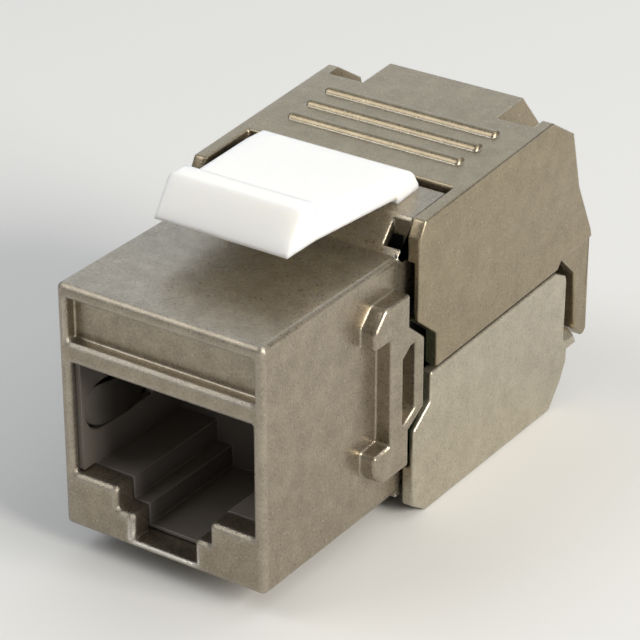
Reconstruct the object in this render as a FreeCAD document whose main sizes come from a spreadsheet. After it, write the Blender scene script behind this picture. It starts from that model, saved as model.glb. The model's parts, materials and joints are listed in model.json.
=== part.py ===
import FreeCAD, Part
import os
import re
import Sketcher

# A shielded keystone jack: a die-cast front housing with an 8-position port, two die-cast
# rear shells that swing open up and down, a plastic panel latch, and the contact parts inside.
#
# Every sketch is drawn from one datum: x is 0 on the centre line, y is 0 on the front face
# and grows to the rear, z is 0 on the underside of the front box. The finished pieces are
# then all moved together, so that the origin lies under the middle of the closed jack.

SIZES = {
    # front face and front box
    "face_width": 14.5,
    "face_height": 16.1,
    "box_depth": 13.8,
    "side_wall": 0.4,
    "top_wall": 0.9,
    "bottom_wall": 0.4,
    "front_wall": 1.75,
    "edge_round": 0.35,
    # port opening and its two steps for the plug's tab
    "stile_width": 0.75,
    "stile_depth": 0.55,
    "mouth_round": 0.28,
    "tab_floor": 0.4,
    "tab_gap": 4.6,
    "step_floor": 2.1,
    "shoulder_gap": 6.8,
    "shoulder_top": 3.6,
    "port_height": 7.45,
    "bar_height": 1.3,
    # label recess above the port
    "label_side": 0.6,
    "label_margin": 0.85,
    "label_depth": 0.9,
    "label_round": 0.2,
    # hooked side plates
    "hook_front": 9.72,
    "hook_bar": 1.95,
    "hook_rear_gap": 0.42,
    "hook_swell": 1.24,
    "hook_top": 14.15,
    "hook_prong": 2.3,
    "hook_slope": 1.1,
    "hook_step": 12.0,
    "swell_top": 10.65,
    "swell_bottom": 5.98,
    "swell_chamfer": 0.95,
    "hook_foot": 4.8,
    "hook_bottom": 2.62,
    "hook_bevel": 0.9,
    "hook_slot_front": 1.05,
    "hook_slot_wide": 1.35,
    "hook_slot_bevel": 0.55,
    # bridge over the rear of the box, which carries the latch
    "bridge_inset": 0.05,
    "arm_thick": 0.6,
    "bridge_lead": 0.1,
    "bridge_run": 1.6,
    "bridge_thick": 1.05,
    "recess_depth": 0.3,
    "platform_gap": 0.4,
    "window_width": 1.25,
    "window_low_share": 0.27,
    "window_high_share": 0.9,
    "window_lean": 0.12,
    "window_deep": 0.95,
    "window_rim": 0.16,
    "arm_reach": 3.5,
    "arm_drop": 3.3,
    "lower_arm_reach": 2.5,
    "lower_arm_drop": 0.3,
    "lower_arm_height": 2.5,
    # ledges under the box
    "catch_front": 7.5,
    "catch_length": 1.4,
    "catch_width": 8.0,
    "catch_drop": 1.3,
    "stop_length": 3.0,
    "stop_width": 12.0,
    "stop_drop": 0.8,
    # hinges of the two shells
    "upper_pin_back": 2.1,
    "upper_pin_rise": 0.8,
    "lower_pin_back": 1.8,
    "lower_pin_rise": 0.6,
    "pin_radius": 0.65,
    "pin_length": 0.75,
    "pin_gap": 0.05,
    "ear_gap": 0.25,
    # both shells
    "overall_depth": 35.1,
    "shell_wall": 0.9,
    "seam_front": 7.74,
    "seam_back": 16.45,
    "seam_rise": 0.032,
    "seam_gap": 0.22,
    "shell_round": 0.3,
    "ear_step": 0.5,
    "ear_step_deep": 0.7,
    # upper shell
    "upper_gap": 0.55,
    "plate_rise": 2.1,
    "plate_slope": 0.061,
    "plate_thick": 0.9,
    "plate_front": 5.55,
    "brow_height": 0.95,
    "brow_run": 0.56,
    "upper_notch": 11.86,
    "upper_notch_back": 10.22,
    "rear_top": 5.7,
    "rear_knee": 3.0,
    "rear_knee_z": 17.45,
    "rear_waist": 2.0,
    "rear_waist_z": 13.4,
    "rear_flare": 0.3,
    "rear_flare_z": 10.05,
    "rear_edge_z": 9.0,
    "lip_bottom": 2.1,
    "lip_thick": 1.55,
    "lip_top": 7.15,
    "lip_step": 0.15,
    "lip_bevel_run": 0.95,
    "lip_bevel_rise": 0.95,
    "notch_peak": 3.85,
    "hood_width": 9.9,
    "hood_top": 3.6,
    "hood_knee": 1.15,
    "hood_knee_z": 16.4,
    "hood_base_z": 12.4,
    "hood_wall": 1.0,
    "corner_front": 6.5,
    "corner_skin": 0.75,
    "corner_floor": 15.3,
    "corner_thick": 0.9,
    "rib_length": 12.6,
    "rib_first_share": 0.308,
    "rib_pitch_share": 0.2216,
    "rib_radius": 0.55,
    "rib_height": 0.3,
    "rib_end_round": 0.25,
    "rim_round": 0.4,
    # lower shell
    "lower_gap": 0.3,
    "lower_inset": 0.08,
    "foot_drop": 1.65,
    "floor_thick": 0.95,
    "toe_rise": 0.95,
    "toe_run": 1.45,
    "lower_notch": 4.53,
    "lower_notch_back": 5.76,
    "lower_notch_run": 1.85,
    "heel_top": 4.4,
    "heel_corner": 2.5,
    "heel_corner_z": 6.12,
    "heel_bulge": 0.7,
    "heel_rear": 2.6,
    "heel_base_z": 1.2,
    "heel_turn": 3.2,
    "heel_turn_z": 0.0,
    "heel_bottom": 4.6,
    "heel_wall": 1.1,
    "ledge_gap": 0.4,
    "ledge_base": 2.0,
    "ledge_nose": 0.3,
    "ledge_height": 1.05,
    "ledge_slope": 0.75,
    "ledge_width": 1.6,
    "ledge_bevel": 0.5,
    "floor_front": 2.8,
    # cable entry
    "cable_radius": 3.9,
    "cable_height": 8.2,
    # port insert
    "fit_gap": 0.05,
    "insert_side_wall": 0.6,
    "insert_roof": 0.4,
    "insert_web": 0.25,
    "insert_rear_gap": 0.2,
    "port_back": 10.1,
    "chamber_front": 3.2,
    "chamber_width": 10.4,
    "spring_front": 0.95,
    "spring_length": 6.4,
    "spring_base": 5.75,
    "spring_height": 3.1,
    "spring_bow": 0.95,
    "spring_thick": 0.2,
    "spring_margin": 0.2,
    # contacts and their carrier
    "contact_pitch": 1.02,
    "contact_size": 0.35,
    "contact_drop": 2.3,
    "contact_bend": 4.7,
    "contact_radius": 0.8,
    "contact_angle": 150,
    "contact_leg": 5.7,
    "contact_stub": 0.4,
    "comb_slot": 0.6,
    "comb_gap": 0.1,
    # circuit board
    "board_gap": 0.3,
    "board_thick": 1.6,
    "board_side": 0.2,
    "board_margin": 0.7,
    "contact_hole": 0.66,
    "tail_hole": 1.0,
    # cutting terminals and their block
    "terminal_pitch": 3.15,
    "terminal_drop": 1.7,
    "terminal_lower": 4.8,
    "terminal_thick": 0.5,
    "terminal_width": 2.0,
    "terminal_slit": 0.35,
    "terminal_slit_deep": 2.6,
    "terminal_reach": 3.2,
    "terminal_tip": 0.45,
    "tail_width": 0.7,
    "tail_stub": 0.25,
    "block_depth": 5.0,
    "block_side": 0.25,
    "block_base": 2.2,
    "block_top": 1.9,
    "block_bevel": 0.6,
    "key_width": 0.95,
    "key_reach": 3.0,
    # wire manager
    "manager_gap": 0.1,
    "manager_rear_gap": 4.6,
    "manager_side": 0.3,
    "manager_base": 0.5,
    "manager_top": 16.1,
    "manager_neck": 3.5,
    "manager_neck_base": 2.6,
    "manager_neck_top": 13.7,
    "manager_front_wall": 3.6,
    "lane_width": 1.15,
    "lane_deep": 0.9,
    "duct_width": 10.4,
    "duct_depth": 2.0,
    "blade_gap": 0.12,
    # panel latch
    "latch_tip": 6.1,
    "latch_lift": 2.32,
    "latch_ramp": 1.6,
    "latch_crest": 4.68,
    "latch_catch": 8.98,
    "latch_step": 3.85,
    "latch_heel_rise": 3.4,
    "latch_heel_back": 4.1,
    "latch_foot_back": 4.75,
    "latch_foot_front": 2.45,
    "latch_head_width": 9.4,
    "latch_heel_width": 11.0,
    "latch_round": 0.3,
    "peg_width": 6.0,
    "peg_front": 3.2,
    "peg_length": 0.9,
    "peg_deep": 1.5,
    "peg_gap": 0.3,
}

# Places that several pieces share, as expressions in the sheet's own names
HALF_FACE = "(face_width / 2)"
PORT_SIDE = "(face_width / 2 - stile_width)"
CAVITY = "(face_width / 2 - side_wall)"
ARM_IN = "(face_width / 2 - bridge_inset - arm_thick)"
BRIDGE = "(face_width / 2 - bridge_inset)"
SHELL_IN = "(face_width / 2 - bridge_inset + ear_gap)"
SHELL_OUT = "(face_width / 2 - bridge_inset + ear_gap + shell_wall)"
PORT_TOP = "(shoulder_top + port_height)"
CEILING = "(face_height - top_wall)"
UPPER_FRONT = "(box_depth + upper_gap)"
LOWER_FRONT = "(box_depth + lower_gap)"
PLATE_FRONT = "(box_depth + plate_front)"
UPPER_PIN = ("box_depth + upper_pin_back", "face_height + upper_pin_rise")
LOWER_PIN = ("box_depth + lower_pin_back", "lower_pin_rise")
INSERT_REAR = "(box_depth - insert_rear_gap)"
BOARD_FRONT = "(box_depth + board_gap)"
BOARD_REAR = "(box_depth + board_gap + board_thick)"
BLOCK_REAR = "(box_depth + board_gap + board_thick + block_depth)"
MANAGER_FRONT = "(box_depth + board_gap + board_thick + block_depth + manager_gap)"
MANAGER_REAR = "(overall_depth - manager_rear_gap)"
CONTACT_LINE = "(face_height - contact_drop - top_wall)"
TERMINAL_UPPER = "(face_height - contact_drop - top_wall - terminal_drop)"
INSERT_SIDE = "(face_width / 2 - side_wall - fit_gap - insert_side_wall)"
SPRING_TURN = ("(spring_front + spring_height / 2)", "(spring_base + spring_height / 2)")

SIDES = (-1, 1)
FINE = 0.01
CONTACT_COUNT = 8
RIB_COUNT = 3
TERMINALS_PER_ROW = 4


def plate_line(y):
    """Height of the upper shell's top plate above a place y."""
    return f"(face_height + plate_rise + plate_slope * ({y} - box_depth - upper_gap))"


def seam_line(y):
    """Height of the lower shell's top edge above a place y."""
    return f"(seam_front + seam_rise * ({y} - seam_back))"


document = FreeCAD.newDocument("keystone_jack")
sheet = document.addObject("Spreadsheet::Sheet", "sizes")
for row, (alias, size) in enumerate(SIZES.items(), start=1):
    sheet.set(f"A{row}", alias)
    sheet.set(f"B{row}", str(size))
    sheet.setAlias(f"B{row}", alias)
document.recompute()


def tied(expression):
    """Point every size in an expression at its cell of the sheet."""
    return re.sub(
        r"[a-z][a-z_]*",
        lambda word: f"sizes.{word.group()}" if word.group() in SIZES else word.group(),
        expression,
    )


def measure(expression):
    """Work out an expression with the sheet's present values."""
    value = sheet.evalExpression(tied(expression))
    return float(getattr(value, "Value", value))


class Piece:
    """One separate piece of the jack, built up from sketches tied to the sheet."""

    # A sketch's own normal: a pad follows it and a pocket goes against it
    NORMALS = {"XY": 1, "XZ": -1, "YZ": 1}

    def __init__(self, label, across="0"):
        self.body = document.addObject("PartDesign::Body", label)
        self.body.Label = label
        self.body.setExpression("Placement.Base.x", tied(across))
        self.body.setExpression("Placement.Base.y", tied("-overall_depth / 2"))
        self.body.setExpression("Placement.Base.z", tied("foot_drop"))
        self.count = 0

    def name(self, kind):
        """A name that no other object of the document has."""
        self.count += 1
        return f"{self.body.Label}_{kind}_{self.count}"

    def origin_feature(self, role):
        """One of the body's own base planes or axes."""
        return next(item for item in self.body.Origin.OriginFeatures if item.Role == role)

    def sketch(self, plane, at):
        """An empty sketch, parallel to a base plane at a given place."""
        sketch = self.body.newObject("Sketcher::SketchObject", self.name("sketch"))
        sketch.AttachmentSupport = [(self.origin_feature(f"{plane}_Plane"), "")]
        sketch.MapMode = "FlatFace"
        sign = "-" if plane == "XZ" else ""
        sketch.setExpression("AttachmentOffset.Base.z", tied(f"{sign}({at})"))
        return sketch

    def pin_point(self, sketch, geometry, end, place):
        """Tie one point of a sketch to two expressions."""
        for kind, expression in zip(("DistanceX", "DistanceY"), place):
            index = sketch.addConstraint(
                Sketcher.Constraint(kind, -1, 1, geometry, end, measure(expression))
            )
            sketch.setExpression(f"Constraints[{index}]", tied(expression))

    def polygon(self, sketch, corners):
        """Draw a closed outline of straight edges whose corners are all tied."""
        first = sketch.GeometryCount
        places = [FreeCAD.Vector(measure(u), measure(v), 0) for u, v in corners]
        count = len(corners)
        for index, place in enumerate(places):
            sketch.addGeometry(Part.LineSegment(place, places[(index + 1) % count]), False)
        for index, corner in enumerate(corners):
            following = first + (index + 1) % count
            sketch.addConstraint(Sketcher.Constraint("Coincident", first + index, 2, following, 1))
            self.pin_point(sketch, first + index, 1, corner)

    def circle(self, sketch, centre, radius):
        """Draw a full circle whose centre and radius are tied."""
        middle = FreeCAD.Vector(measure(centre[0]), measure(centre[1]), 0)
        up = FreeCAD.Vector(0, 0, 1)
        index = sketch.addGeometry(Part.Circle(middle, up, measure(radius)), False)
        self.pin_point(sketch, index, 3, centre)
        limit = sketch.addConstraint(Sketcher.Constraint("Radius", index, measure(radius)))
        sketch.setExpression(f"Constraints[{limit}]", tied(radius))

    def outline(self, plane, at, polygons=(), circles=()):
        """A sketch with any number of closed polygons and circles."""
        sketch = self.sketch(plane, at)
        for corners in polygons:
            self.polygon(sketch, corners)
        for centre, radius in circles:
            self.circle(sketch, centre, radius)
        return sketch

    def extrude(self, kind, plane, at, depth, way, **drawing):
        """Pad or pocket a sketch towards plus or minus its axis, or both ways."""
        sketch = self.outline(plane, at, **drawing)
        feature = self.body.newObject(f"PartDesign::{kind}", self.name(kind.lower()))
        feature.Profile = sketch
        feature.setExpression("Length", tied(depth))
        if way == "both":
            feature.SideType = "Symmetric"
        else:
            along = self.NORMALS[plane] if kind == "Pad" else -self.NORMALS[plane]
            feature.Reversed = along != {"plus": 1, "minus": -1}[way]
        before = 0 if feature.BaseFeature is None else feature.BaseFeature.Shape.Volume
        document.recompute()
        change = feature.Shape.Volume - before
        if (change <= 0) == (kind == "Pad"):
            raise ValueError(f"{feature.Name} changes the volume by {change:.4f}")
        return feature

    def add(self, plane, at, depth, way="plus", **drawing):
        """Add material."""
        return self.extrude("Pad", plane, at, depth, way, **drawing)

    def cut(self, plane, at, depth, way="plus", **drawing):
        """Take material away."""
        return self.extrude("Pocket", plane, at, depth, way, **drawing)

    def mirror(self, features):
        """Repeat features on the other side of the centre line."""
        mirrored = self.body.newObject("PartDesign::Mirrored", self.name("mirror"))
        mirrored.Originals = features
        mirrored.MirrorPlane = (self.origin_feature("YZ_Plane"), [""])
        self.body.Tip = mirrored
        document.recompute()
        return mirrored

    def repeat(self, features, axis, pitch, count):
        """Repeat features in a row."""
        pattern = self.body.newObject("PartDesign::LinearPattern", self.name("row"))
        pattern.Originals = features
        pattern.Direction = (self.origin_feature(f"{axis}_Axis"), [""])
        pattern.Mode = "Spacing"
        pattern.Occurrences = count
        pattern.setExpression("Offset", tied(pitch))
        self.body.Tip = pattern
        document.recompute()
        return pattern

    def soften(self, kind, size, chosen):
        """Fillet or chamfer the edges that a test picks out."""
        base = self.body.Tip
        edges = [f"Edge{index + 1}" for index, edge in enumerate(base.Shape.Edges) if chosen(edge)]
        feature = self.body.newObject(f"PartDesign::{kind}", self.name(kind.lower()))
        feature.Base = (base, edges)
        feature.setExpression("Radius" if kind == "Fillet" else "Size", tied(size))
        document.recompute()
        return feature


def box_corners(left, right, low, high):
    """The four corners of an upright rectangle."""
    return ((left, low), (right, low), (right, high), (left, high))


def wide(half, low, high):
    """A rectangle centred on the centre line."""
    return box_corners(f"-({half})", half, low, high)


def both_sides(half_outline):
    """Close an outline drawn on the plus side with its mirror image."""
    return tuple(half_outline) + tuple((f"-({u})", v) for u, v in reversed(half_outline))


def touches(edge, axis, expression):
    """True for an edge that lies wholly at one place along an axis."""
    place = measure(expression)
    box = edge.BoundBox
    low, high = {"x": (box.XMin, box.XMax), "y": (box.YMin, box.YMax), "z": (box.ZMin, box.ZMax)}[axis]
    return abs(low - place) < 0.001 and abs(high - place) < 0.001


def beside(edge, expression):
    """True for an edge that lies wholly at one distance from the centre line."""
    return touches(edge, "x", expression) or touches(edge, "x", f"-({expression})")


def port_outline(side, floor):
    """The port's opening, stepped down for the plug's tab, as far as its sides and floor."""
    return both_sides((
        ("tab_gap / 2", floor),
        ("tab_gap / 2", "step_floor"),
        ("shoulder_gap / 2", "step_floor"),
        ("shoulder_gap / 2", "shoulder_top"),
        (side, "shoulder_top"),
        (side, PORT_TOP),
    ))


def add_side_hooks(housing):
    """The raised plate on each side, with a hooked front and a swelled rear."""
    rear = "box_depth - hook_rear_gap"
    bar = f"{rear} - hook_bar"
    swell = "box_depth + hook_swell"
    plate = housing.add("YZ", HALF_FACE, f"{SHELL_OUT} - {HALF_FACE}", polygons=[(
        ("hook_front", "hook_top - hook_slope"),
        ("hook_front + hook_slope", "hook_top"),
        (rear, "hook_top"),
        (rear, "hook_step"),
        (swell, "swell_top"),
        (swell, "swell_bottom"),
        (rear, "swell_bottom - swell_chamfer"),
        (rear, "hook_bottom"),
        ("hook_front + hook_bevel", "hook_bottom"),
        ("hook_front", "hook_bottom + hook_bevel"),
        ("hook_front", "hook_foot"),
        (bar, "hook_foot"),
        (bar, "hook_top - hook_prong"),
        ("hook_front", "hook_top - hook_prong"),
    )])
    slot_front = "box_depth - hook_slot_front"
    slot_rear = "box_depth - hook_slot_front + hook_slot_wide"
    slot = housing.cut("YZ", SHELL_OUT, f"{SHELL_OUT} - {HALF_FACE}", "minus", polygons=[(
        (slot_front, "swell_bottom - hook_slot_bevel"),
        (slot_rear, "swell_bottom + hook_slot_bevel / 2"),
        (slot_rear, "swell_top"),
        (f"{slot_rear} - hook_slot_bevel", "swell_top"),
        (slot_front, "swell_top - hook_slot_bevel"),
    )])
    return [plate, slot]


def on_slope(edge, foot, head):
    """Tell whether an edge lies on the straight slope between two places."""
    low, high = ([measure(place) for place in end] for end in (foot, head))
    return all(
        abs((point.Y - low[0]) * (high[1] - low[1]) - (point.Z - low[1]) * (high[0] - low[0])) < FINE
        and low[0] - FINE < point.Y < high[0] + FINE
        for point in edge.Vertexes
    )


def on_ramp(share):
    """A place on the bridge's ramp, a share of the way up from its foot."""
    rise = f"({plate_line('(box_depth + bridge_run)')} - recess_depth - face_height)"
    return (f"(box_depth - bridge_lead + {share} * (bridge_run + bridge_lead))",
            f"(face_height + {share} * {rise})")


def add_hinge_arms(housing):
    """The arms behind the box and the stub pins that the shells turn on."""
    arms = housing.add("YZ", ARM_IN, f"{BRIDGE} - {ARM_IN}", polygons=[
        (
            ("box_depth", f"{CEILING} - arm_drop"),
            ("box_depth + arm_reach", f"{CEILING} - arm_drop / 2"),
            ("box_depth + arm_reach", f"{plate_line('(box_depth + arm_reach)')} - recess_depth"),
            ("box_depth + bridge_run", f"{plate_line('(box_depth + bridge_run)')} - recess_depth"),
            ("box_depth", "face_height"),
        ),
        box_corners("box_depth", "box_depth + lower_arm_reach", "-lower_arm_drop",
                    "lower_arm_height - lower_arm_drop"),
    ])
    pins = housing.add("YZ", BRIDGE, "pin_length", circles=[
        (UPPER_PIN, "pin_radius"),
        (LOWER_PIN, "pin_radius"),
    ])
    return [arms, pins]


def build_front_housing():
    """The die-cast front: box, port frame, side hooks, bridge, arms and ledges."""
    housing = Piece("front_housing")
    housing.add("XZ", "0", "box_depth", polygons=[wide(HALF_FACE, "0", "face_height")])
    housing.soften("Fillet", "edge_round", lambda edge: not touches(edge, "y", "box_depth"))
    housing.cut("XZ", "front_wall", "box_depth", polygons=[wide(CAVITY, "bottom_wall", CEILING)])
    housing.cut("XZ", "0", "front_wall", polygons=[port_outline(PORT_SIDE, "tab_floor")])
    housing.cut("XZ", "stile_depth", "front_wall - stile_depth", polygons=[
        wide(CAVITY, "shoulder_top", PORT_TOP),
    ])
    housing.soften("Fillet", "mouth_round", lambda edge: touches(edge, "y", "0")
                   and abs(edge.CenterOfMass.x) < measure(f"{HALF_FACE} - edge_round") - FINE
                   and measure("tab_floor") + FINE < edge.CenterOfMass.z < measure(PORT_TOP) + FINE)
    housing.cut("XZ", "0", "label_depth", polygons=[
        wide(f"{HALF_FACE} - label_side", f"{PORT_TOP} + bar_height", "face_height - label_margin"),
    ])
    housing.soften("Fillet", "label_round", lambda edge: touches(edge, "y", "0")
                   and abs(edge.CenterOfMass.x) < measure(f"{HALF_FACE} - edge_round") - FINE
                   and measure(f"{PORT_TOP} + mouth_round") + FINE < edge.CenterOfMass.z
                   < measure("face_height - edge_round") - FINE)
    paired = add_side_hooks(housing) + add_hinge_arms(housing)
    housing.mirror(paired)
    ramp_foot = "box_depth - bridge_lead"
    ramp_top = "(box_depth + bridge_run)"
    platform_end = f"({PLATE_FRONT} - platform_gap)"
    top = f"{plate_line(ramp_top)} - recess_depth"
    housing.add("YZ", "0", f"2 * {BRIDGE}", "both", polygons=[(
        (ramp_foot, CEILING),
        (ramp_foot, "face_height"),
        (ramp_top, top),
        (platform_end, f"{plate_line(platform_end)} - recess_depth"),
        (platform_end, f"{plate_line(platform_end)} - recess_depth - bridge_thick"),
        (ramp_top, f"{top} - bridge_thick"),
        ("box_depth", CEILING),
    )])
    window_foot = on_ramp("window_low_share")
    window_head = on_ramp("window_high_share")
    window = housing.cut("YZ", BRIDGE, "window_width", "minus", polygons=[(
        window_foot,
        (f"{window_foot[0]} - window_width / 4", f"{window_foot[1]} + window_width / 4"),
        (f"{window_head[0]} - window_width / 4", f"{window_head[1]} + window_width / 4"),
        window_head,
        (f"{window_head[0]} - window_lean", f"{window_foot[1]} - window_deep"),
        (f"{window_foot[0]} + window_lean", f"{window_foot[1]} - window_deep"),
    )])
    housing.mirror([window])
    housing.soften("Fillet", "window_rim", lambda edge: on_slope(edge, window_foot, window_head)
                   and abs(edge.CenterOfMass.x) > measure(f"{BRIDGE} - window_width") - FINE)
    housing.add("YZ", "0", f"2 * {BRIDGE}", "both", polygons=[
        box_corners("box_depth", "box_depth + lower_arm_reach", "-lower_arm_drop", "bottom_wall"),
    ])
    housing.add("YZ", "0", "catch_width", "both", polygons=[(
        ("catch_front", "0"),
        ("catch_front + catch_length", "0"),
        ("catch_front + catch_length", "-catch_drop"),
        ("catch_front + catch_length / 2", "-catch_drop"),
    )])
    stop_rear = "box_depth - hook_rear_gap"
    housing.add("YZ", "0", "stop_width", "both", polygons=[
        box_corners(f"{stop_rear} - stop_length", stop_rear, "-stop_drop", "0"),
    ])
    housing.cut("XY", f"{top} + recess_depth", "peg_deep + 2 * recess_depth", "minus", polygons=[
        wide("peg_width / 2 + peg_gap", "box_depth + peg_front - peg_gap",
             "box_depth + peg_front + peg_length + peg_gap"),
    ])
    return housing


def build_port_insert():
    """The dark plastic liner that forms the port behind the metal frame."""
    insert = Piece("port_insert")
    front = "front_wall + fit_gap"
    insert.add("XZ", front, f"{INSERT_REAR} - front_wall - fit_gap", polygons=[
        wide(f"{CAVITY} - fit_gap", "bottom_wall + fit_gap", f"{CEILING} - fit_gap"),
    ])
    insert.add("XZ", "stile_depth + fit_gap", f"{front} - stile_depth - fit_gap", polygons=[
        wide(f"{CAVITY} - fit_gap", "shoulder_top + fit_gap", f"{PORT_TOP} - fit_gap"),
    ])
    insert.cut("XZ", "0", "port_back", polygons=[
        port_outline(INSERT_SIDE, "bottom_wall + fit_gap + insert_web"),
    ])
    insert.cut("XZ", INSERT_REAR, f"{INSERT_REAR} - chamber_front", "minus", polygons=[
        wide("chamber_width / 2", f"{PORT_TOP} - fit_gap - insert_roof",
             f"{CEILING} - fit_gap - insert_roof"),
    ])
    insert.cut("YZ", "0", "face_width", "both", polygons=[
        box_corners(SPRING_TURN[0], "spring_front + spring_length",
                    "spring_base", "spring_base + spring_height"),
    ])
    insert.cut("YZ", "0", "face_width", "both", circles=[(SPRING_TURN, "spring_height / 2")])
    return insert


def build_contact_carrier():
    """The comb that keeps the eight spring contacts apart."""
    carrier = Piece("contact_carrier")
    carrier.add("XZ", "chamber_front + fit_gap", f"{BOARD_FRONT} - tail_stub - chamber_front - 2 * fit_gap",
                polygons=[wide("chamber_width / 2 - fit_gap", f"{PORT_TOP} - fit_gap - insert_roof",
                               f"{CEILING} - 2 * fit_gap - insert_roof")])
    first = f"(-contact_pitch * {(CONTACT_COUNT - 1) / 2})"
    slot = carrier.cut("XZ", "chamber_front", "box_depth", polygons=[
        box_corners(f"{first} - comb_slot / 2", f"{first} + comb_slot / 2",
                    f"{PORT_TOP} - port_height", f"{CONTACT_LINE} + contact_size / 2 + comb_gap"),
    ])
    carrier.repeat([slot], "X", "contact_pitch", CONTACT_COUNT)
    return carrier


def build_plug_contact(number):
    """One spring contact: straight from the board, bent round and sloping into the port."""
    place = number - (CONTACT_COUNT + 1) / 2
    contact = Piece(f"plug_contact_{number}", across=f"contact_pitch * {place}")
    path = contact.sketch("YZ", "0")
    rear, bend, level = (f"{BOARD_REAR} + contact_stub", "contact_bend", CONTACT_LINE)
    radius = measure("contact_radius")
    centre = FreeCAD.Vector(measure(bend), measure(level) - radius, 0)
    start = FreeCAD.Vector(measure(rear), measure(level), 0)
    turn = FreeCAD.Rotation(FreeCAD.Vector(0, 0, 1), measure("contact_angle"))
    top = FreeCAD.Vector(0, radius, 0)
    leaving = centre + turn.multVec(top)
    tip = leaving + turn.multVec(FreeCAD.Vector(-measure("contact_leg"), 0, 0))
    halfway = FreeCAD.Rotation(FreeCAD.Vector(0, 0, 1), measure("contact_angle") / 2)
    path.addGeometry(Part.LineSegment(start, centre + top), False)
    path.addGeometry(Part.Arc(centre + top, centre + halfway.multVec(top), leaving), False)
    path.addGeometry(Part.LineSegment(leaving, tip), False)
    contact.pin_point(path, 0, 1, (rear, level))
    path.addConstraint(Sketcher.Constraint("Horizontal", 0))
    stop = path.addConstraint(Sketcher.Constraint("DistanceX", -1, 1, 0, 2, measure(bend)))
    path.setExpression(f"Constraints[{stop}]", tied(bend))
    path.addConstraint(Sketcher.Constraint("Tangent", 0, 2, 1, 1))
    path.addConstraint(Sketcher.Constraint("Tangent", 1, 2, 2, 1))
    bow = path.addConstraint(Sketcher.Constraint("Radius", 1, radius))
    path.setExpression(f"Constraints[{bow}]", tied("contact_radius"))
    leg = path.addConstraint(Sketcher.Constraint("Distance", 2, measure("contact_leg")))
    path.setExpression(f"Constraints[{leg}]", tied("contact_leg"))
    lean = path.addConstraint(
        Sketcher.Constraint("Angle", 2, FreeCAD.Units.parseQuantity(
            f"{measure('contact_angle') - 180} deg").getValueAs("rad").Value)
    )
    path.setExpression(f"Constraints[{lean}]", tied("(contact_angle - 180) * 1 deg"))
    half = "contact_size / 2"
    profile = contact.outline("XZ", rear, polygons=[
        wide(half, f"{level} - {half}", f"{level} + {half}"),
    ])
    pipe = contact.body.newObject("PartDesign::AdditivePipe", contact.name("wire"))
    pipe.Profile = profile
    pipe.Spine = path
    document.recompute()
    return contact


def terminal_places():
    """Centre line place and height of each cutting terminal, row by row."""
    middle = (TERMINALS_PER_ROW - 1) / 2
    return [
        (f"(terminal_pitch * {column - middle})", height)
        for height in (TERMINAL_UPPER, "terminal_lower")
        for column in range(TERMINALS_PER_ROW)
    ]


def build_circuit_board():
    """The board that joins the port contacts to the cutting terminals."""
    board = Piece("circuit_board")
    board.add("XZ", BOARD_FRONT, "board_thick", polygons=[
        wide(f"{ARM_IN} - board_side", "bottom_wall + board_margin", f"{CEILING} - board_margin / 2"),
    ])
    middle = (CONTACT_COUNT - 1) / 2
    holes = [
        ((f"contact_pitch * {index - middle}", CONTACT_LINE), "contact_hole / 2")
        for index in range(CONTACT_COUNT)
    ]
    holes += [(place, "tail_hole / 2") for place in terminal_places()]
    board.cut("XZ", BOARD_FRONT, "board_thick", circles=holes)
    return board


def build_terminal(number, place):
    """One cutting terminal: a forked blade with a tail through the board."""
    across, height = place
    terminal = Piece(f"idc_terminal_{number}", across=across)
    shoulder = f"({BOARD_REAR} + fit_gap)"
    tip = f"({BLOCK_REAR} + terminal_reach)"
    terminal.add("XY", f"{height} - terminal_thick / 2", "terminal_thick", polygons=[both_sides((
        ("tail_width / 2", f"{BOARD_FRONT} - tail_stub"),
        ("tail_width / 2", shoulder),
        ("terminal_width / 2", shoulder),
        ("terminal_width / 2", f"{tip} - terminal_tip"),
        ("terminal_width / 2 - terminal_tip / 2", tip),
        ("terminal_slit / 2 + terminal_tip / 2", tip),
        ("terminal_slit / 2", f"{tip} - terminal_tip"),
        ("terminal_slit / 2", f"{tip} - terminal_slit_deep"),
    ))])
    return terminal


def build_idc_block():
    """The plastic block that holds the eight cutting terminals."""
    block = Piece("idc_block")
    half = f"({ARM_IN} - block_side)"
    low, high = "block_base", "(face_height - block_top)"
    block.add("XZ", f"{BOARD_REAR} + fit_gap", "block_depth - fit_gap", polygons=[both_sides((
        (f"{half} - block_bevel", low),
        (half, f"{low} + block_bevel"),
        (half, f"{high} - block_bevel"),
        (f"{half} - block_bevel", high),
    ))])
    block.add("XZ", BLOCK_REAR, "key_reach", polygons=[wide("key_width / 2", low, high)])
    slots = [
        box_corners(f"{across} - terminal_width / 2 - fit_gap", f"{across} + terminal_width / 2 + fit_gap",
                    f"{height} - terminal_thick / 2 - fit_gap", f"{height} + terminal_thick / 2 + fit_gap")
        for across, height in terminal_places()
    ]
    block.cut("XZ", BOARD_REAR, "block_depth", polygons=slots)
    block.cut("XZ", BOARD_REAR, "contact_stub + comb_gap", polygons=[
        wide("chamber_width / 2", f"{CONTACT_LINE} - comb_slot / 2", f"{CONTACT_LINE} + comb_slot / 2"),
    ])
    return block


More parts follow.
